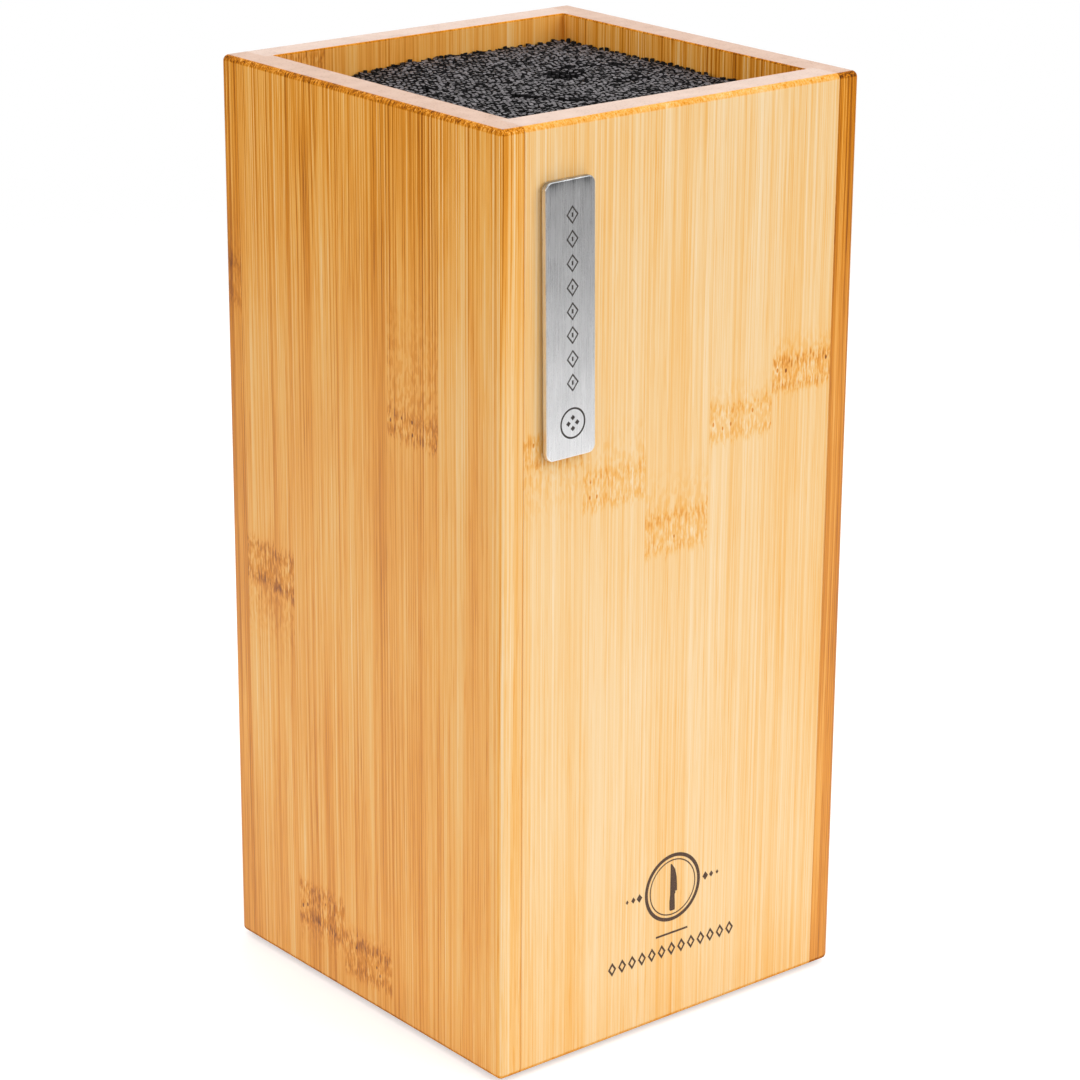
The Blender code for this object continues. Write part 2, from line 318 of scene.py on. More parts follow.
    # The upright corners get a painted highlight: their tone is raised.
    for mask, rise in ((halo, 0.04), (flecks, 0.07), (painted_corner_highlight, 0.07)):
        value = s.plus(value, mask, rise)
    for mask, depth in (
        (dashes, 0.16 * contrast),
        (dark_lines, 0.12),
        (band, 0.105),
        (crest, 0.10),
        (waves, 0.085),
        (dots, 0.34),
        (stain, 0.20),
        (glue, 0.05),
        # Painted shade: the rounded edges, deeper in patches, the top and the foot are darkened where
        # less light falls and less is reflected.
        (arris, arris_painted_shade),
        (s.product(arris, cut_fibres_and_shade), arris_painted_shade * 0.7),
        (near_rim, top_painted_shade),
        (near_foot, foot_painted_shade),
    ):
        value = s.minus(value, mask, depth)
    rim_value = s.minus(s.math("ADD", 0.60, s.centred(broad, 0.5)), pores, 0.22)
    rim_value = s.math("ADD", rim_value, s.centred(fine, 0.5))
    along_grain, across_grain = s.colours(value, BAMBOO_TONES), s.colours(rim_value, RIM_TONES)
    s.set(Base_Color=s.mix(end_grain, along_grain, across_grain))

    s.set(Roughness=s.plus(s.math("ADD", gloss, s.centred(fine, 0.25)), band, 0.08, clamp=True))
    bare = s.plus(arris, near_rim, top_bare, clamp=True)
    bare = s.plus(bare, end_grain, 0.35, clamp=True)
    s.set(Specular_IOR_Level=s.minus(0.42, bare, 0.40))
    s.set(Coat_Weight=s.minus(0.12, bare, 0.12), Coat_Roughness=0.20, Coat_IOR=1.5)

    relief = s.math("ADD", s.math("MULTIPLY", fine, 0.5), s.math("MULTIPLY", medium, 0.3))
    for mask, depth in ((dashes, 0.35), (band, -0.4), (dots, 1.2), (glue, 0.6), (pores, 0.4)):
        relief = s.minus(relief, mask, depth)
    s.bump(relief, 0.05 * MM, 0.6)
    return s.material


def plastic_material(name, colour, worn, roughness, grain_size, grain_depth):
    """Moulded plastic or rubber: a fine eroded texture, paler where it is rubbed."""
    s = Shader(name)
    place = s.position()
    fine = s.noise(place, (grain_size, grain_size, grain_size), 3.0, 0.6)
    broad = s.noise(place, (0.12, 0.12, 0.12), 2.0)
    edges = s.over(s.node("ShaderNodeNewGeometry").outputs["Pointiness"], 0.52, 0.60)
    rubbed = s.plus(s.math("MULTIPLY", edges, 0.6), broad, 0.35, clamp=True)
    s.set(Base_Color=s.mix(s.math("MULTIPLY", rubbed, fine), (*colour, 1.0), (*worn, 1.0)))
    s.set(Roughness=s.math("ADD", roughness, s.centred(fine, 0.3), clamp=True))
    s.bump(fine, grain_depth, 0.7)
    return s.material


def steel_material(name, top):
    """Steel brushed along Z, with a few deeper strokes and soft stains, and painted shade darkening its
    top end.
    """
    s = Shader(name)
    place = s.position()
    strokes = s.noise(place, (6.0, 6.0, 0.07), 3.0, 0.75)
    scratches = s.over(s.noise(place, (4.0, 4.0, 0.05), 1.0), 0.62, 0.72)
    stains = s.noise(place, (0.25, 0.25, 0.12), 2.0)
    ragged_height = s.minus(s.split(place)[2], stains, 3.0)
    # Painted shade: the top end is darkened, standing in for the dimmer reflection there.
    painted_dark_top = s.over(ragged_height, top / MM - 5.5, top / MM - 0.5)
    tone = s.plus(s.math("MULTIPLY", strokes, 0.50), stains, 0.20)
    tone = s.minus(tone, scratches, 0.12)
    tone = s.minus(tone, painted_dark_top, 0.42)
    greys = ((0.00, (0.30, 0.305, 0.31)), (0.16, (0.66, 0.66, 0.67)), (0.48, (0.99, 0.985, 0.99)))
    s.set(Base_Color=s.colours(tone, greys), Metallic=1.0, Anisotropic=0.6)
    s.set(Roughness=s.plus(0.18, strokes, 0.22))
    s.bump(s.minus(strokes, scratches, 0.5), 0.012 * MM, 0.5)
    return s.material


def ink_material(name, colour, thin):
    """Dark marking, burnt or printed, that is uneven where it is thin."""
    s = Shader(name)
    specks = s.noise(s.position(), (6.0, 6.0, 3.0), 3.0, 0.7)
    s.set(Base_Color=s.mix(s.over(specks, 0.45, 0.75), (*colour, 1.0), (*thin, 1.0)))
    s.set(Roughness=s.plus(0.45, specks, 0.25))
    s.bump(specks, 0.01 * MM, 0.5)
    return s.material


def foam_material(name):
    """Closed-cell foam tape."""
    s = Shader(name)
    cells = s.cells(s.position(), (6.0, 6.0, 6.0))
    s.set(Base_Color=s.colours(cells, ((0.0, (0.20, 0.19, 0.18)), (0.6, (0.42, 0.41, 0.38)))))
    s.set(Roughness=s.plus(0.75, cells, 0.2))
    s.bump(cells, 0.04 * MM, 0.8)
    return s.material


def bristle_material(name, top):
    """Extruded fibre: sides painted near black by the ends as painted shade for the gaps, paler sides
    well below them, and torn grey cut ends.

    fibre_look holds each fibre's own tone, whether a face is the cut end, and its painted shade near the
    walls.
    """
    s = Shader(name)
    own, is_end, painted_wall_shade = s.split(s.attribute("fibre_look"))
    place = s.position()
    lines = s.noise(place, (8.0, 8.0, 0.15), 2.0, 0.6)
    torn = s.noise(place, (5.0, 5.0, 5.0), 3.0, 0.7)
    # Painted shade: between 12 and 3 mm below the ends the sides fade to near black, and stay so up to
    # the ends, for the deep gaps between the fibres.
    below = s.under(s.split(place)[2], top / MM - 12.0, top / MM - 3.0)
    side_tone = s.plus(s.math("MULTIPLY", own, 0.45), lines, 0.25)
    painted_gap_shade = s.colours(side_tone, ((0.1, (0.002, 0.002, 0.002)), (0.7, (0.010, 0.009, 0.010))))
    sides = s.colours(side_tone, ((0.1, (0.012, 0.012, 0.013)), (0.55, (0.060, 0.058, 0.061))))
    # Painted shade: ends near the walls are darkened and lose their shine.
    end_tone = s.minus(s.plus(s.math("MULTIPLY", own, 0.6), torn, 0.4), painted_wall_shade, 0.8)
    greys = ((0.05, (0.006, 0.005, 0.005)), (0.22, (0.062, 0.056, 0.059)), (0.85, (0.172, 0.156, 0.165)))
    s.set(Base_Color=s.mix(is_end, s.mix(below, painted_gap_shade, sides), s.colours(end_tone, greys)))
    s.set(Roughness=s.plus(0.42, torn, 0.20))
    shine = s.plus(s.math("SUBTRACT", is_end, painted_wall_shade), below, 1.4, clamp=True)
    s.set(Specular_IOR_Level=s.plus(0.08, shine, 0.34))
    s.bump(s.math("ADD", lines, s.math("MULTIPLY", torn, is_end)), 0.03 * MM, 0.6)
    return s.material


# ---------------- mesh helpers


def linked(obj):
    bpy.context.scene.collection.objects.link(obj)
    return obj


def object_from(bm, name, material=None):
    mesh = bpy.data.meshes.new(name)
    bm.to_mesh(mesh)
    bm.free()
    if material:
        mesh.materials.append(material)
    return linked(bpy.data.objects.new(name, mesh))


def block_bmesh(low, high):
    bm = bmesh.new()
    size = Vector(high) - Vector(low)
    middle = (Vector(high) + Vector(low)) / 2
    matrix = Matrix.Translation(middle) @ Matrix.Diagonal(size).to_4x4()
    bmesh.ops.create_cube(bm, size=1.0, matrix=matrix)
    return bm


def round_edges(bm, edges, radius, steps):
    bmesh.ops.bevel(bm, geom=edges, offset=radius, segments=steps, profile=0.5, affect="EDGES")


def apply_modifiers(obj):
    """Keeps the mesh as its modifiers leave it."""
    bpy.context.view_layer.update()
    graph = bpy.context.evaluated_depsgraph_get()
    evaluated = obj.evaluated_get(graph)
    mesh = bpy.data.meshes.new_from_object(evaluated, preserve_all_data_layers=True, depsgraph=graph)
    old = obj.data
    obj.modifiers.clear()
    obj.data = mesh
    bpy.data.meshes.remove(old)


def cut(obj, cutters, materials="INDEX"):
    """Runs (operation, cutter) pairs on obj. materials says whose materials the cut faces take."""
    for operation, cutter in cutters:
        modifier = obj.modifiers.new(cutter.name, "BOOLEAN")
        modifier.material_mode = materials
        modifier.operation = operation
        modifier.solver = "EXACT"
        modifier.object = cutter
    apply_modifiers(obj)


def smooth(obj, angle=35):
    """Smooth shading with edges sharper than the angle, in degrees, kept sharp."""
    obj.data.shade_smooth()
    obj.data.set_sharp_from_angle(angle=math.radians(angle))
    modifier = obj.modifiers.new("Even normals", "WEIGHTED_NORMAL")
    modifier.keep_sharp = True
    apply_modifiers(obj)


def discard(objects):
    for obj in objects:
        mesh = obj.data
        bpy.data.objects.remove(obj, do_unlink=True)
        bpy.data.meshes.remove(mesh)


# ---------------- bamboo boards

NO_NODE = -1000.0

# A board's strips: the near side of the first in mm, and then each strip's far side in mm, tone, dark
# streaks, node height, node strength, node reach and figure. The figure is how many mm it runs above the
# node, or below it where it is negative. A stain may follow: its middle across and up, its half width and
# half height, all in mm, and its strength.
FRONT_STRIPS = (
    -46.2,
    (-29.2, 0.800, 0.20, 152.5, 1.1, 3.6, -16.0),
    (-10.6, 0.800, 0.10, 140.0, 1.0, 4.2, 14.0),
    (8.5, 0.805, 0.05, 125.7, 1.1, 4.6, 13.0),
    (27.8, 0.825, 0.05, 148.5, 1.0, 4.2, 7.0),
    (46.2, 0.775, 0.15, 156.8, 1.5, 4.0, 6.0),
)
LEFT_STRIPS = (
    -52.5,
    (-49.0, 0.63, 0.6, NO_NODE, 0.0, 4.0, 0.0),
    (-30.0, 0.65, 0.8, NO_NODE, 0.0, 4.0, 0.0),
    (-11.2, 0.61, 1.1, 151.5, 1.3, 3.2, 36.0, (-20.6, 58.0, 5.0, 42.0, 0.4)),
    (7.9, 0.610, 0.8, 12.0, 1.3, 5.0, 5.0, (3.0, 10.0, 6.0, 14.0, 0.4)),
    (26.6, 0.600, 0.9, 19.0, 1.3, 5.5, -8.0, (21.0, 14.0, 6.0, 20.0, 0.5)),
    (46.0, 0.600, 0.8, 103.0, 1.35, 5.5, -22.0, (36.5, 100.0, 8.0, 17.0, 0.6)),
    (52.5, 0.50, 0.8, 172.0, 0.8, 6.0, 15.0, (50.0, 172.0, 3.0, 12.0, 0.35)),
)
RIGHT_STRIPS = (
    -52.5,
    (-46.5, 0.50, 0.5, NO_NODE, 0.0, 4.0, 0.0),
    (-27.4, 0.53, 0.4, 61.0, 1.0, 4.6, 9.0),
    (-8.3, 0.58, 0.2, 178.0, 1.0, 4.2, -11.0),
    (10.9, 0.55, 0.5, 35.0, 1.1, 5.0, 14.0),
    (30.1, 0.52, 0.3, 118.0, 0.9, 4.4, -8.0),
    (49.4, 0.57, 0.4, 204.0, 1.0, 4.8, 10.0),
    (52.5, 0.50, 0.5, NO_NODE, 0.0, 4.0, 0.0),
)
BACK_STRIPS = (
    -46.2,
    (-27.9, 0.78, 0.2, 44.0, 1.0, 4.4, 10.0),
    (-9.1, 0.74, 0.2, 171.0, 1.0, 4.8, -9.0),
    (10.2, 0.80, 0.1, 93.0, 1.0, 4.2, 12.0),
    (29.5, 0.76, 0.2, 193.0, 1.0, 4.6, -8.0),
    (46.2, 0.79, 0.1, 66.0, 1.0, 4.4, 9.0),
)
INSIDE_END_STRIPS = (
    -43.5,
    (-29.0, 0.590, 0.7, 220.5, 1.1, 4.2, -14.0),
    (-10.0, 0.590, 0.8, NO_NODE, 0.0, 4.6, 9.0),
    (9.2, 0.605, 0.8, 84.0, 1.0, 4.6, -9.0),
    (28.3, 0.630, 0.7, 160.0, 1.0, 4.6, 9.0),
    (43.5, 0.625, 0.6, 40.0, 1.0, 4.6, 9.0),
)
INSIDE_SIDE_STRIPS = (
    -43.5,
    (-29.0, 0.57, 0.7, 190.0, 1.0, 4.6, 9.0),
    (-10.0, 0.61, 0.7, 130.0, 1.0, 4.6, 9.0),
    (9.2, 0.63, 0.6, 71.0, 1.0, 4.6, -9.0),
    (28.3, 0.65, 0.6, 162.0, 1.0, 4.6, 9.0),
    (43.5, 0.62, 0.5, 52.0, 1.0, 4.6, 9.0),
)
BASE_STRIPS = (
    -43.5,
    (-29.0, 0.62, 0.3, 20.0, 1.0, 4.6, 9.0),
    (-10.0, 0.58, 0.3, -24.0, 1.0, 4.6, -9.0),
    (9.2, 0.64, 0.2, NO_NODE, 0.0, 4.6, 0.0),
    (28.3, 0.60, 0.4, 8.0, 1.0, 4.6, 9.0),
    (43.5, 0.63, 0.3, -5.0, 1.0, 4.6, -9.0),
)
# The side boards' strips that show on the front and back: tone and dark streaks.
EDGE_STRIPS = {
    "left_board": (0.705, 0.4),
    "right_board": (0.475, 0.5),
}
JOINT_STAIN = (0.55, 0.80)  # half its width in mm, and its strength
NO_STAIN = (0.0, 0.0, 1.0, 1.0, 0.0)


def strip_of(strips, across):
    """The strip that holds a place in mm across the board: its near side and its values."""
    low = strips[0]
    for strip in strips[1:]:
        if across < strip[0] or strip is strips[-1]:
            return low, strip
        low = strip[0]


def lay_strips(obj, rule):
    """Writes the strips' values on the mesh.

    rule gives (axis, strips, seed) from a face's place in mm and its normal.
    """
    mesh = obj.data
    layers = {
        "strip_place": "CORNER",
        "strip_stain": "CORNER",
        "strip_look": "FACE",
        "strip_node": "FACE",
    }
    for name, domain in layers.items():
        mesh.attributes.new(name, "FLOAT_VECTOR", domain)
    place, stain, look, node = (mesh.attributes[name] for name in layers)
    for face in mesh.polygons:
        axis, strips, seed = rule(face.center / MM, face.normal)
        low, strip = strip_of(strips, face.center[axis] / MM)
        high, tone, streaks, node_height, node_strength, node_reach, figure = strip[:7]
        stain_x, stain_z, half_width, half_height, strength = strip[7] if strip[7:] else NO_STAIN
        look.data[face.index].vector = (tone, seed + node_height * 0.071 + streaks * 0.013, streaks)
        node.data[face.index].vector = (node_strength, node_reach, figure)
        for loop in face.loop_indices:
            co = mesh.vertices[mesh.loops[loop].vertex_index].co / MM
            place.data[loop].vector = (co[axis] - low, high - co[axis], co.z - node_height)
            stain.data[loop].vector = (
                (co[axis] - stain_x) / half_width,
                (co.z - stain_z) / half_height,
                strength,
            )


def split_at(obj, axis, places):
    """Cuts the faces along planes across an axis, so that each strip has faces of its own."""
    bm = bmesh.new()
    bm.from_mesh(obj.data)
    normal = Vector((0.0, 0.0, 0.0))
    normal[axis] = 1.0
    for place in places:
        geometry = bm.verts[:] + bm.edges[:] + bm.faces[:]
        point = normal * place * MM
        bmesh.ops.bisect_plane(bm, geom=geometry, dist=1e-7, plane_co=point, plane_no=normal)
    bm.to_mesh(obj.data)
    bm.free()


def inner_sides(*tables):
    """Where the strips of all the tables meet, in mm."""
    sides = {table[0] for table in tables} | {strip[0] for table in tables for strip in table[1:]}
    return sorted(sides)[1:-1]


def edge_strip(side, tone, streaks):
    """The strip of a side board that shows on the front and back, with a stain along its glued side."""
    joint = side * STRIP_INNER / MM
    low, high = sorted((joint, side * (HALF_W / MM + 1.0)))
    stain = (joint, CENTRE.z / MM, JOINT_STAIN[0], 1e4, JOINT_STAIN[1])
    return (low, (high, tone, streaks, NO_NODE, 0.0, 4.0, 0.0, stain))


def outer_form():
    """The whole box's outer shape, with its rounded edges."""
    bm = block_bmesh((-HALF_W, -HALF_D, BOTTOM), (HALF_W, HALF_D, RIM))
    round_edges(bm, bm.edges[:], EDGE_RADIUS, EDGE_STEPS)
    return object_from(bm, "outer_form")


def mouth_form():
    """The inside of the box, which widens at the rim to round the mouth's edge."""
    low = (-INNER_W, -INNER_D, BOTTOM - CUTTER_MARGIN)
    bm = block_bmesh(low, (INNER_W, INNER_D, RIM - MOUTH_ROUNDING))
    turns = [math.pi / 2 * step / MOUTH_STEPS for step in range(MOUTH_STEPS + 1)]
    rises = [MOUTH_ROUNDING * (math.sin(b) - math.sin(a)) for a, b in zip(turns, turns[1:])]
    spreads = [MOUTH_ROUNDING * (math.cos(a) - math.cos(b)) for a, b in zip(turns, turns[1:])]
    for rise, spread in zip(rises + [CUTTER_MARGIN], spreads + [0.0]):
        top = max(bm.faces, key=lambda face: face.calc_center_median().z)
        raised = bmesh.ops.extrude_discrete_faces(bm, faces=[top])["faces"][0]
        for vert in raised.verts:
            outward = (math.copysign(spread, vert.co.x), math.copysign(spread, vert.co.y), rise)
            vert.co += Vector(outward)
    return object_from(bm, "mouth_form")


def groove_form(side, end):
    """A long square bar on edge, which eases both arrises of the joint between strip and board."""
    bm = block_bmesh((-JOINT_GROOVE, -JOINT_GROOVE, 0.0), (JOINT_GROOVE, JOINT_GROOVE, CUTTER_TOP))
    bmesh.ops.scale(bm, vec=(math.sqrt(0.5), math.sqrt(0.5), 1.0), verts=bm.verts)
    bmesh.ops.rotate(bm, matrix=Matrix.Rotation(math.radians(45), 3, "Z"), verts=bm.verts)
    joint = (side * (STRIP_INNER - HAIR_GAP / 2), end * HALF_D, 0.0)
    bmesh.ops.translate(bm, vec=joint, verts=bm.verts)
    return object_from(bm, "groove_form")


def make_side_board(name, side, strips, material, outer, mouth):
    """A board of the full depth, with a rabbet behind each of its strips for the board beside it."""
    near, far = sorted((side * (HALF_W + CUTTER_MARGIN), side * INNER_W))
    reach = HALF_D + CUTTER_MARGIN
    blank = block_bmesh((near, -reach, -CUTTER_MARGIN), (far, reach, CUTTER_TOP))
    board = object_from(blank, f"{name}_bamboo", material)
    cutters = []
    for end in (-1, 1):
        xs = sorted((side * STRIP_INNER, side * (INNER_W - CUTTER_MARGIN)))
        ys = sorted((end * (INNER_D - HAIR_GAP), end * reach))
        rabbet = block_bmesh((xs[0], ys[0], -CUTTER_MARGIN), (xs[1], ys[1], CUTTER_TOP))
        cutters += [object_from(rabbet, "rabbet"), groove_form(side, end)]
    cuts = [("DIFFERENCE", cutter) for cutter in cutters + [mouth]]
    cut(board, [("INTERSECT", outer)] + cuts)
    discard(cutters)
    split_at(board, 1, inner_sides(strips, INSIDE_SIDE_STRIPS))
    edge = edge_strip(side, *EDGE_STRIPS[name])

    def rule(centre, normal):
        if abs(normal.y) > 0.72 and abs(centre.y) > INNER_D / MM + 1:
            return 0, edge, side * 3.1 + centre.y * 0.01
        if normal.x * side < -0.5:
            return 1, INSIDE_SIDE_STRIPS, side * 1.7
        return 1, strips, side * 0.9

    lay_strips(board, rule)
    smooth(board)
    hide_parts(name)
    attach(board, "box")


def make_end_board(name, end, strips, material, outer, mouth):
    """The front or back board, which sits in the side boards' rabbets."""
    reach = STRIP_INNER - HAIR_GAP
    near, far = sorted((end * (HALF_D + CUTTER_MARGIN), end * INNER_D))
    blank = block_bmesh((-reach, near, -CUTTER_MARGIN), (reach, far, CUTTER_TOP))
    board = object_from(blank, f"{name}_bamboo", material)
    grooves = [groove_form(side, end) for side in (-1, 1)]
    cuts = [("DIFFERENCE", cutter) for cutter in grooves + [mouth]]
    cut(board, [("INTERSECT", outer)] + cuts)
    discard(grooves)
    split_at(board, 0, inner_sides(strips, INSIDE_END_STRIPS))

    def rule(centre, normal):
        if normal.y * end < -0.5:
            return 0, INSIDE_END_STRIPS, end * 2.3
        return 0, strips, end * 1.3

    lay_strips(board, rule)
    smooth(board)
    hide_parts(name)
    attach(board, "box")


def make_boards(side_bamboo, end_bamboo):
    outer = outer_form()
    mouth = mouth_form()
    for name, side, strips in (("left_board", -1, LEFT_STRIPS), ("right_board", 1, RIGHT_STRIPS)):
        make_side_board(name, side, strips, side_bamboo, outer, mouth)
    for name, end, strips in (("front_board", -1, FRONT_STRIPS), ("back_board", 1, BACK_STRIPS)):
        make_end_board(name, end, strips, end_bamboo, outer, mouth)
    discard([outer, mouth])


def make_base(bamboo):
    """The base board, made standing on end and then laid down, so that its grain runs along Y."""
    low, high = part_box("base_board")
    thickness = high.z - low.z
    bm = block_bmesh((low.x, -thickness / 2, low.y), (high.x, thickness / 2, high.y))
    round_edges(bm, bm.edges[:], BASE_ARRIS, 2)
    board = object_from(bm, "base_board_bamboo", bamboo)
    split_at(board, 0, inner_sides(BASE_STRIPS))
    lay_strips(board, lambda centre, normal: (0, BASE_STRIPS, 4.4 + normal.y))
    smooth(board)
    laid_down = Matrix.Rotation(math.pi / 2, 4, "X")
    board.matrix_world = Matrix.Translation((0.0, 0.0, low.z + thickness / 2)) @ laid_down
    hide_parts("base_board")
    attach(board, "box")


# ---------------- badge and print

BADGE_SIZE = Vector((13.9, 1.6, 63.0)) * MM
BADGE_CORNER = 1.9 * MM
BADGE_CORNER_STEPS = 8
BADGE_ARRIS = 0.36 * MM
BADGE_LEAN = math.radians(0.8)
ETCH_DEPTH = 0.06 * MM
ETCH_X = 0.4 * MM  # the marks' middle line, from the badge's own
ETCHED_LOZENGES = 8
LOZENGE_TOP = 23.5 * MM
LOZENGE_STEP = 5.4 * MM
ETCHED_RING_Z = -23.6 * MM
ETCHED_DOTS = 4
ETCHED_DOT_RING = 1.25 * MM

PRINT_RELIEF = 0.03 * MM  # the print's height over the wood
PRINT_SINK = 0.02 * MM
PRINT_RING_Z = 34.6 * MM  # the heights are above the box's bottom
PRINT_RULE_Z = 22.7 * MM
PRINT_ROW_Z = 18.5 * MM
PRINT_RING_STEPS = 72
PRINT_ROW_PITCH = 3.1 * MM
PRINT_ROW_SIDE = 6  # lozenges on each side of the middle one


def shape_bmesh(outline, near, far, hole=None):
    """A flat shape from its outline of (x, z) points. With a hole of as many points it is a ring."""
    bm = bmesh.new()
    front = [bm.verts.new((x, near, z)) for x, z in outline]
    if hole is None:
        faces = [bm.faces.new(front)]
    else:
        inner = [bm.verts.new((x, near, z)) for x, z in hole]
        count = len(outline)
        faces = []
        for i in range(count):
            j = (i + 1) % count
            faces.append(bm.faces.new((front[i], front[j], inner[j], inner[i])))
    moved = bmesh.ops.extrude_face_region(bm, geom=faces)["geom"]
    for vert in (item for item in moved if isinstance(item, bmesh.types.BMVert)):
        vert.co.y = far
    bmesh.ops.recalc_face_normals(bm, faces=bm.faces)
    return bm


def circle(radius, x=0.0, z=0.0, steps=48):
    turns = [2 * math.pi * step / steps for step in range(steps)]
    return [(x + radius * math.cos(turn), z + radius * math.sin(turn)) for turn in turns]


def lozenge(width, height, x=0.0, z=0.0):
    return [(x - width / 2, z), (x, z - height / 2), (x + width / 2, z), (x, z + height / 2)]


def bar(width, height, x=0.0, z=0.0):
    w, h = width / 2, height / 2
    return [(x - w, z - h), (x + w, z - h), (x + w, z + h), (x - w, z + h)]


def joined(bmeshes, name, material):
    """One object of several closed shapes."""
    mesh = bpy.data.meshes.new(name)
    whole = bmesh.new()
    for bm in bmeshes:
        bm.to_mesh(mesh)
        bm.free()
        whole.from_mesh(mesh)
    bpy.data.meshes.remove(mesh)
    return object_from(whole, name, material)


def make_badge(steel, etched):
    low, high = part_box("badge_plate")
    middle = (low + high) / 2
    face = low.y
    half_width, half_height = BADGE_SIZE.x / 2, BADGE_SIZE.z / 2
    bm = block_bmesh((-half_width, face, -half_height), (half_width, face + BADGE_SIZE.y, half_height))
    upright = [e for e in bm.edges if abs(e.verts[0].co.y - e.verts[1].co.y) > BADGE_SIZE.y / 2]
    round_edges(bm, upright, BADGE_CORNER, BADGE_CORNER_STEPS)
    badge = object_from(bm, "badge_plate_brushed", steel)
    bevel = badge.modifiers.new("Bevel", "BEVEL")
    bevel.width = BADGE_ARRIS
    bevel.segments = 4
    bevel.limit_method = "ANGLE"
    bevel.angle_limit = math.radians(60)
    apply_modifiers(badge)
    depths = (face - 1 * MM, face + ETCH_DEPTH)
    marks = []
    for step in range(ETCHED_LOZENGES):
        z = LOZENGE_TOP - LOZENGE_STEP * step
        outline = lozenge(3.4 * MM, 4.2 * MM, ETCH_X, z)
        hole = lozenge(2.5 * MM, 3.1 * MM, ETCH_X, z)
        marks.append(shape_bmesh(outline, *depths, hole))
        marks.append(shape_bmesh(bar(0.45 * MM, 1.0 * MM, ETCH_X, z), *depths))
    outline = circle(3.6 * MM, ETCH_X, ETCHED_RING_Z)
    marks.append(shape_bmesh(outline, *depths, circle(3.15 * MM, ETCH_X, ETCHED_RING_Z)))
    for x, z in circle(ETCHED_DOT_RING, ETCH_X, ETCHED_RING_Z, ETCHED_DOTS):
        marks.append(shape_bmesh(lozenge(1.3 * MM, 1.3 * MM, x, z), *depths))
    cutter = joined(marks, "etching", etched)
    cut(badge, [("DIFFERENCE", cutter)], "TRANSFER")
    discard([cutter])
    smooth(badge, 30)
    badge.data.transform(Matrix.Rotation(-BADGE_LEAN, 4, "Y"))
    badge.data.transform(Matrix.Translation((middle.x, 0.0, middle.z)))
    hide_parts("badge_plate")
    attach(badge, "box")


def knife_outline(length):
    """A plain cook's knife, point up, as an outline about x = 0."""
    grip = [(-0.05, -0.50), (0.06, -0.50), (0.07, -0.47), (0.055, -0.16), (0.075, -0.145)]
    edge = [(0.075, -0.10), (0.115, -0.10), (0.115, 0.02), (0.10, 0.20), (0.06, 0.37), (-0.03, 0.50)]
    back = [(-0.06, 0.50), (-0.06, -0.10), (-0.06, -0.16), (-0.075, -0.30), (-0.07, -0.47)]
    return [(x * length, z * length) for x, z in grip + edge + back]


def make_print(ink):
    """The front's print: a ring with a knife in it, and a rule and a row of lozenges below."""
    near, far = -HALF_D - PRINT_RELIEF, -HALF_D + PRINT_SINK
    z = BOTTOM + PRINT_RING_Z
    marks = []
    for outer, inner in ((8.7, 7.8), (7.2, 6.9)):
        outline = circle(outer * MM, 0.0, z, PRINT_RING_STEPS)
        marks.append(shape_bmesh(outline, near, far, circle(inner * MM, 0.0, z, PRINT_RING_STEPS)))
    knife = [(x, height + z) for x, height in knife_outline(12.2 * MM)]
    marks.append(shape_bmesh(knife, near, far))
    for side in (-1, 1):
        for step, size in enumerate((2.2, 1.6, 1.1)):
            x = side * (10.4 + 1.9 * step) * MM
            marks.append(shape_bmesh(lozenge(size * 0.8 * MM, size * MM, x, z), near, far))
    marks.append(shape_bmesh(bar(10.0 * MM, 0.5 * MM, 0.0, BOTTOM + PRINT_RULE_Z), near, far))
    row = BOTTOM + PRINT_ROW_Z
    for step in range(-PRINT_ROW_SIDE, PRINT_ROW_SIDE + 1):
        x = step * PRINT_ROW_PITCH
        outline = lozenge(2.5 * MM, 3.6 * MM, x, row)
        marks.append(shape_bmesh(outline, near, far, lozenge(1.3 * MM, 1.9 * MM, x, row)))
    prints = joined(marks, "front_print", ink)
    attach(prints, "box")


# ---------------- bristles

# All in mm. A fibre's end is pushed away from the dimple and aside from each parting, and lowered there.
FIBRE_SEED = 20
FIBRE_MARGIN = 0.62  # between the outer fibres' middles and the walls
FIBRE_JITTER = 0.15
UNEVENNESS = 0.11
LOW_FIBRES = 0.05  # the share of fibres that are well short of the rest
BORDER_WIDTH = 1.3
DIMPLE = (15.9, 9.8)
DIMPLE_RADIUS = 4.2
DIMPLE_DEPTH = 7.5
DIMPLE_PUSH = 1.9
PARTING_REACH = 1.2
PARTING_PUSH = 0.7
PARTING_DEPTH = 1.6
# Each parting's two ends and how strong it is.
PARTINGS = (
    ((20.5, 16.0), (33.0, 9.0), 1.0),
    ((-9.0, -2.0), (-1.3, -15.4), 0.9),
    ((21.5, -4.3), (26.5, -5.6), 1.0),
    ((-28.0, 12.0), (-19.0, 17.5), 0.5),
    ((2.0, -22.0), (12.0, -25.0), 0.7),
)


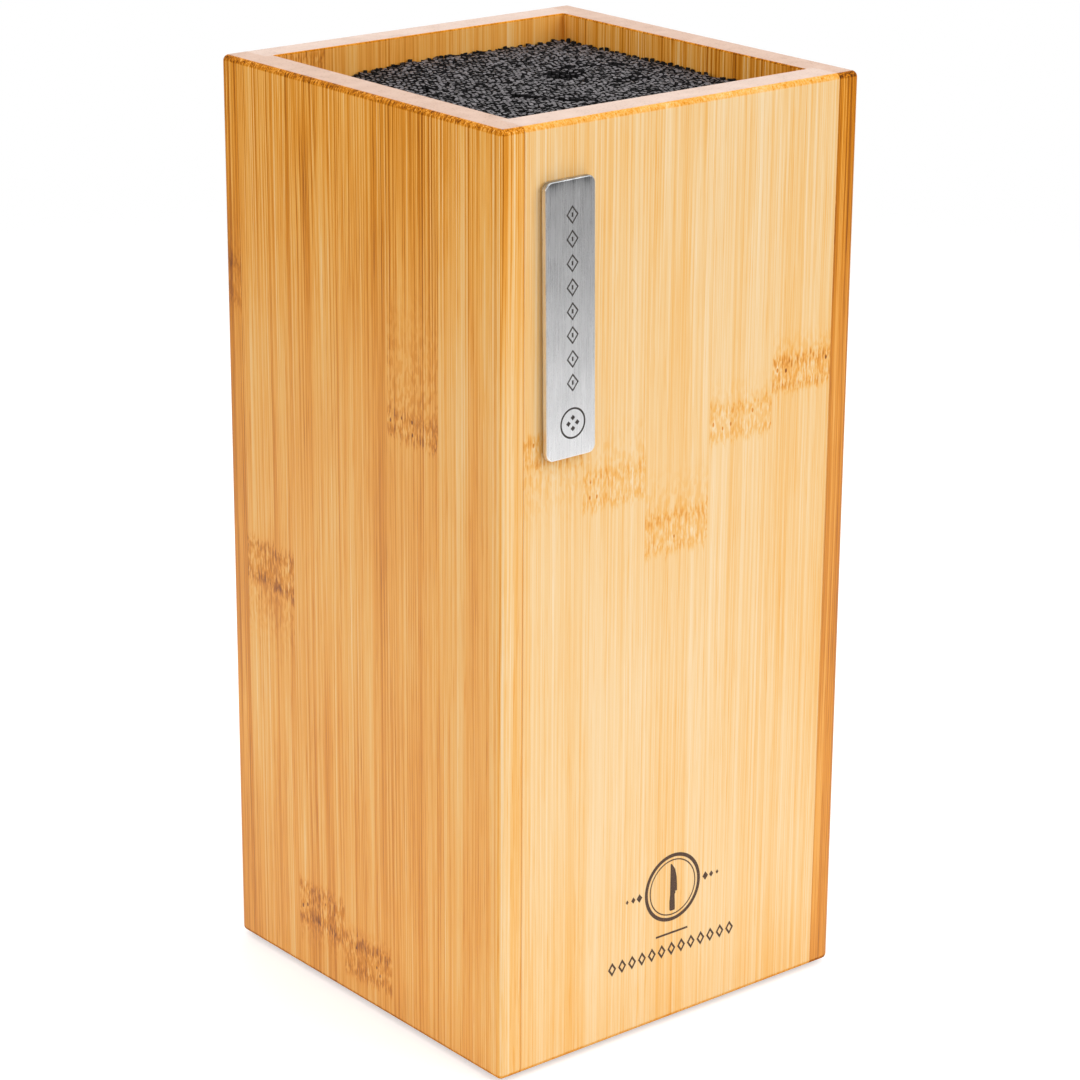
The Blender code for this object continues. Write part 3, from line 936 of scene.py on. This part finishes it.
def pushed(x, y):
    """Where a fibre's end goes, in mm, round the dimple and the partings, and how far it is lowered."""
    dx, dy = x - DIMPLE[0], y - DIMPLE[1]
    away = math.hypot(dx, dy * 1.15) + 1e-6
    push = DIMPLE_PUSH * math.exp(-((away / DIMPLE_RADIUS) ** 2))
    x += dx / away * push
    y += dy / away * push
    lowered = DIMPLE_DEPTH * math.exp(-((away / (DIMPLE_RADIUS * 0.70)) ** 2))
    for (ax, ay), (bx, by), share in PARTINGS:
        length = math.hypot(bx - ax, by - ay)
        ux, uy = (bx - ax) / length, (by - ay) / length
        along = (x - ax) * ux + (y - ay) * uy
        aside = -(x - ax) * uy + (y - ay) * ux
        outside = max(0.0, -along, along - length)
        strength = share * math.exp(-((aside / PARTING_REACH) ** 2) - (outside / 1.5) ** 2)
        x -= uy * math.copysign(strength * PARTING_PUSH, aside)
        y += ux * math.copysign(strength * PARTING_PUSH, aside)
        lowered += PARTING_DEPTH * strength
    return x, y, lowered


def soft_step(value):
    value = max(0.0, min(1.0, value))
    return value * value * (3 - 2 * value)


def fibres():
    """Every fibre's end (x, y, lowered) in mm, tone, painted shade near the walls and tilt, on a jittered
    triangular grid.
    """
    rng = random.Random(FIBRE_SEED)
    reach_x = INNER_W / MM - FIBRE_MARGIN
    reach_y = INNER_D / MM - FIBRE_MARGIN
    pitch = FIBRE_PITCH / MM
    rows = int(2 * reach_y / (pitch * math.sqrt(0.75)))
    columns = int(2 * reach_x / pitch)
    for row in range(rows + 1):
        for column in range(columns + 1):
            x = -reach_x + 2 * reach_x * (column + 0.5 * (row % 2)) / (columns + 0.5)
            y = -reach_y + 2 * reach_y * row / rows
            x += rng.gauss(0.0, FIBRE_JITTER)
            y += rng.gauss(0.0, FIBRE_JITTER)
            x, y, lowered = pushed(x, y)
            x = max(-reach_x, min(reach_x, x))
            y = max(-reach_y, min(reach_y, y))
            lowered += rng.gauss(0.0, UNEVENNESS)
            lowered += (rng.random() < LOW_FIBRES) * rng.uniform(0.3, 1.2)
            from_wall = min(reach_x - abs(x), reach_y - abs(y))
            # border, near the walls, makes the ends uneven and is also their painted shade.
            border = 1.0 - soft_step((from_wall - 0.5) / BORDER_WIDTH)
            lowered += border * rng.uniform(-0.5, 0.7)
            # A slight swell over the whole pack, which sinks towards its back left corner.
            lowered += 0.16 * math.sin(x * 0.11 + 1.0) * math.cos(y * 0.09 - 0.6)
            lowered += 1.5 * soft_step((-5.0 - x) / 30.0) * soft_step((y + 25.0) / 55.0)
            yield x, y, lowered, rng.random(), border, rng.uniform(-0.30, 0.30), rng.uniform(-0.30, 0.30)


def fibre_mesh(name, chosen, foot_scale, levels):
    """Tubes with a cut end. levels are (height, share of the way from foot to end)."""
    turns = np.arange(FIBRE_SIDES) * 2 * math.pi / FIBRE_SIDES
    circle_xy = np.stack([np.cos(turns), np.sin(turns)], 1)

    # One fibre's faces: quads between its rings, and triangles round the middle of its end.
    rings = len(levels) + len(FIBRE_END_RINGS)
    per_fibre = rings * FIBRE_SIDES + 1
    sides = np.arange(FIBRE_SIDES)
    after = (sides + 1) % FIBRE_SIDES
    ring_quads = np.stack([sides, after, FIBRE_SIDES + after, FIBRE_SIDES + sides], 1)
    quads = np.concatenate([ring_quads + ring * FIBRE_SIDES for ring in range(rings - 1)])
    last = (rings - 1) * FIBRE_SIDES
    caps = np.stack([last + sides, last + after, np.full(FIBRE_SIDES, rings * FIBRE_SIDES)], 1)

    end_height = levels[-1][0]
    verts = []
    for x, y, lowered, own, _, tilt_x, tilt_y in chosen:
        end = np.array([x, y]) * MM
        foot = end * foot_scale
        radius = FIBRE_RADIUS * (0.93 + 0.14 * own)
        bow = np.array([math.sin(own * 50), math.cos(own * 50)]) * FIBRE_BOW
        tilt = circle_xy @ np.array([tilt_x, tilt_y]) * radius
        for height, share in levels:
            middle = foot + (end - foot) * share + bow * share * (1 - share) * 4
            z = height - (lowered * MM if height > end_height - 1 * MM else 0.0)
            verts.append(np.column_stack([middle + circle_xy * radius, np.full(FIBRE_SIDES, z)]))
        verts[-1][:, 2] += tilt
        for size, rise in FIBRE_END_RINGS:
            z = end_height - lowered * MM + tilt * size + rise
            verts.append(np.column_stack([end + circle_xy * radius * size, z]))
        verts.append(np.array([[end[0], end[1], end_height - lowered * MM + FIBRE_END_RINGS[-1][1]]]))
    verts = np.concatenate(verts)

    count = len(chosen)
    starts = np.arange(count)[:, None, None] * per_fibre
    loops = np.concatenate([(quads[None] + starts).reshape(-1), (caps[None] + starts).reshape(-1)])
    quad_count, cap_count = count * len(quads), count * FIBRE_SIDES
    begins = np.concatenate([np.arange(quad_count) * 4, quad_count * 4 + np.arange(cap_count) * 3])
    mesh = bpy.data.meshes.new(name)
    mesh.vertices.add(len(verts))
    mesh.vertices.foreach_set("co", verts.astype(np.float32).ravel())
    mesh.loops.add(len(loops))
    mesh.loops.foreach_set("vertex_index", loops.astype(np.int32))
    mesh.polygons.add(quad_count + cap_count)
    mesh.polygons.foreach_set("loop_start", begins.astype(np.int32))
    mesh.update(calc_edges=True)
    mesh.validate()

    own, painted_wall_shade = (np.array([fibre[place] for fibre in chosen]) for place in (3, 4))
    is_end = (np.arange(len(quads)) >= (len(levels) * FIBRE_SIDES)).astype(float)
    looks = np.ones((quad_count + cap_count, 3), np.float32)
    looks[:quad_count, 1] = np.tile(is_end, count)
    for column, values in ((0, own), (2, painted_wall_shade)):
        looks[:quad_count, column] = np.repeat(values, len(quads))
        looks[quad_count:, column] = np.repeat(values, FIBRE_SIDES)
    attribute = mesh.attributes.new("fibre_look", "FLOAT_VECTOR", "FACE")
    attribute.data.foreach_set("vector", looks.ravel())
    return mesh


def make_bristles(material):
    """The four bundles, which narrow towards the tray as the fibres' feet are welded closer."""
    everything = list(fibres())
    tray_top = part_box("insert_tray")[1].z
    for end_name, end in (("front", -1), ("back", 1)):
        for side_name, side in (("left", -1), ("right", 1)):
            node = f"bristle_bundle_{end_name}_{side_name}"
            low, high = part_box(node)
            reach = max(abs(low.x), abs(high.x))
            foot_scale = (reach - BUNDLE_NARROWING) / reach
            levels = [
                (low.z, 0.0),
                (tray_top + 0.3 * MM, 0.02),
                (tray_top + 9 * MM, 0.55),
                (tray_top + 19 * MM, 0.97),
                (high.z - 12 * MM, 1.0),
                (high.z, 1.0),
            ]
            own = [f for f in everything if (f[0] >= 0) == (side > 0) and (f[1] >= 0) == (end > 0)]
            mesh = fibre_mesh(f"{node}_fibres", own, foot_scale, levels)
            mesh.shade_smooth()
            mesh.materials.append(material)
            obj = linked(bpy.data.objects.new(mesh.name, mesh))
            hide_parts(node)
            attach(obj, "insert")


# ---------------- carried-over nodes


def repaint(node, material):
    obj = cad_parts[node]
    obj.data.materials.clear()
    obj.data.materials.append(material)


# ---------------- studio


def look_matrix(location, forward, roll):
    """Places a camera or light that looks along forward."""
    forward = forward.normalized()
    level_right = forward.cross(Vector((0.0, 0.0, 1.0))).normalized()
    level_up = level_right.cross(forward)
    right = level_right * math.cos(roll) + level_up * math.sin(roll)
    up = right.cross(forward)
    matrix = Matrix((right, up, -forward)).transposed().to_4x4()
    matrix.translation = location
    return matrix


def make_camera():
    flat = Vector((math.sin(VIEW_AZIMUTH), math.cos(VIEW_AZIMUTH), 0.0))
    forward = flat * math.cos(VIEW_ELEVATION) - Vector((0.0, 0.0, math.sin(VIEW_ELEVATION)))
    turned = look_matrix(Vector(), forward, VIEW_ROLL)
    aim = CENTRE + turned.col[0].to_3d() * AIM_RIGHT + turned.col[1].to_3d() * AIM_UP
    data = bpy.data.cameras.new("camera")
    data.lens = VIEW_LENS
    data.sensor_width = 36.0
    data.clip_start = 0.02
    data.clip_end = 50.0
    camera = linked(bpy.data.objects.new("camera", data))
    camera.matrix_world = look_matrix(aim - forward * VIEW_DISTANCE, forward, VIEW_ROLL)
    bpy.context.scene.camera = camera


def area_light(name, direction, distance, width, height, power):
    """A softbox that faces the box from a direction. Metres and watts."""
    data = bpy.data.lights.new(name, "AREA")
    data.shape = "RECTANGLE"
    data.size = width
    data.size_y = height
    data.energy = power
    light = linked(bpy.data.objects.new(name, data))
    direction = Vector(direction).normalized()
    light.matrix_world = look_matrix(CENTRE + direction * distance, -direction, 0.0)
    light.visible_camera = False


def make_world():
    """A white surround: bright at the horizon, softer overhead, and dim below the edge of the table."""
    world = bpy.data.worlds.new("studio")
    bpy.context.scene.world = world
    world.use_nodes = True
    nodes, links = world.node_tree.nodes, world.node_tree.links
    surround = nodes["Background"]
    place = nodes.new("ShaderNodeTexCoord")
    split = nodes.new("ShaderNodeSeparateXYZ")
    height = nodes.new("ShaderNodeMapRange")
    height.inputs["From Min"].default_value = -1.0
    height.inputs["From Max"].default_value = 1.0
    ramp = nodes.new("ShaderNodeValToRGB")
    greys = ((0.0, 0.18), (0.47, 0.25), (0.51, 0.95), (0.65, 0.85), (1.0, 0.60))
    set_stops(ramp.color_ramp, [(stop, (grey, grey, grey)) for stop, grey in greys])
    white = nodes.new("ShaderNodeBackground")
    white.inputs["Color"].default_value = (1.0, 1.0, 1.0, 1.0)
    path = nodes.new("ShaderNodeLightPath")
    mix = nodes.new("ShaderNodeMixShader")
    links.new(place.outputs["Generated"], split.inputs[0])
    links.new(split.outputs[2], height.inputs["Value"])
    links.new(height.outputs["Result"], ramp.inputs["Fac"])
    links.new(ramp.outputs["Color"], surround.inputs["Color"])
    links.new(path.outputs["Is Camera Ray"], mix.inputs[0])
    links.new(surround.outputs[0], mix.inputs[1])
    links.new(white.outputs[0], mix.inputs[2])
    links.new(mix.outputs[0], nodes["World Output"].inputs["Surface"])


def make_floor():
    """A round white table whose rim fades into the surround."""
    bm = bmesh.new()
    bmesh.ops.create_circle(bm, cap_ends=True, segments=96, radius=1.6)
    floor = object_from(bm, "floor")
    s = Shader("floor_white")
    place = s.position()
    specks = s.noise(place, (0.4, 0.4, 0.4), 3.0, 0.6)
    s.set(Base_Color=s.colours(specks, ((0.3, (0.74, 0.74, 0.74)), (0.7, (0.77, 0.77, 0.77)))))
    s.set(Roughness=s.plus(0.55, specks, 0.1), Specular_IOR_Level=0.2)
    flat = s.vector("MULTIPLY", place, (MM, MM, 0.0))
    radius = s.node("ShaderNodeVectorMath", {0: flat}, operation="LENGTH").outputs["Value"]
    s.set(Alpha=s.under(radius, 0.40, 0.80))
    path = s.node("ShaderNodeLightPath").outputs
    seen = s.math("MULTIPLY", path["Is Camera Ray"], 0.40)
    seen = s.plus(seen, path["Is Glossy Ray"], 0.15)
    s.set(Emission_Color=(1.0, 1.0, 1.0, 1.0), Emission_Strength=s.math("ADD", 0.04, seen))
    floor.data.materials.append(s.material)


def make_studio():
    make_camera()
    make_world()
    make_floor()
    area_light("back_softbox", (0.599, 0.731, 0.36), 1.9, 1.7, 0.9, 3.5)
    area_light("key_softbox", (0.50, -1.0, 0.72), 1.4, 1.2, 1.2, 7.9)
    area_light("left_softbox", (-1.0, 0.15, 0.40), 1.6, 1.0, 1.2, 4.3)
    area_light("top_softbox", (-0.15, -0.2, 1.0), 1.3, 1.0, 1.0, 5.0)
    bpy.context.scene.view_settings.view_transform = "Standard"


# ---------------- everything

side_bamboo = bamboo_material(
    "side_bamboo_lacquered",
    contrast=0.58,
    ribbing=0.075,
    gloss=0.36,
    top_painted_shade=0.055,
    top_bare=0.85,
    foot_painted_shade=0.02,
    arris_painted_shade=0.15,
)
end_bamboo = bamboo_material(
    "end_bamboo_lacquered",
    contrast=0.40,
    ribbing=0.012,
    gloss=0.38,
    top_painted_shade=0.0,
    top_bare=0.0,
    foot_painted_shade=0.035,
    arris_painted_shade=0.13,
)
steel = steel_material("badge_steel_brushed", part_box("badge_plate")[1].z)
etched = ink_material("badge_etching", (0.018, 0.012, 0.010), (0.085, 0.065, 0.055))
ink = ink_material("print_ink", (0.045, 0.018, 0.008), (0.20, 0.10, 0.045))
foam = foam_material("foam_tape")
rubber = plastic_material(
    "foot_rubber_moulded", (0.022, 0.022, 0.022), (0.07, 0.07, 0.07), 0.70, 3.0, 0.03 * MM
)
plastic = plastic_material(
    "tray_plastic_moulded", (0.018, 0.018, 0.020), (0.05, 0.05, 0.052), 0.48, 4.0, 0.02 * MM
)
bristle = bristle_material("bristle_fibre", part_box("bristle_bundle_front_left")[1].z)

make_studio()
make_boards(side_bamboo, end_bamboo)
make_base(end_bamboo)
make_badge(steel, etched)
make_print(ink)
make_bristles(bristle)
for foot in ("foot_front_left", "foot_front_right", "foot_back_left", "foot_back_right"):
    repaint(foot, rubber)
repaint("insert_tray", plastic)
repaint("badge_adhesive_pad", foam)
